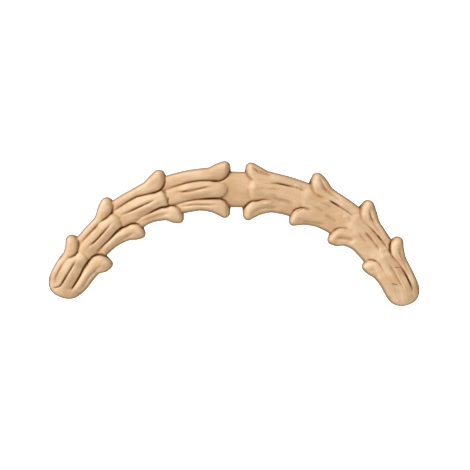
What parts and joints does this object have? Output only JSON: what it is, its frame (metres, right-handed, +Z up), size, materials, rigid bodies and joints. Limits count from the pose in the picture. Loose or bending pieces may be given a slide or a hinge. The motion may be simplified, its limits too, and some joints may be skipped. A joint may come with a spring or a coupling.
{
  "type": "carved wood frieze",
  "caption": "Arched onlay of carved pale wood: husks nested mouth to base down each arm from a plain boss at the crown, with rounded ends and a flat back to fix it by.",
  "frame": {"origin": "on the flat back, behind the middle of the boss at the crown", "axes": "+X along the frieze to the viewer's right, +Z up, +Y from the carved face through the back into what it is fixed to"},
  "size_m": [0.305, 0.0154, 0.1163],
  "materials": {
    "pale_hardwood": "raw, fine sanded"
  },
  "bodies": {
    "root": {"frieze": "pale_hardwood"}
  },
  "joints": []
}
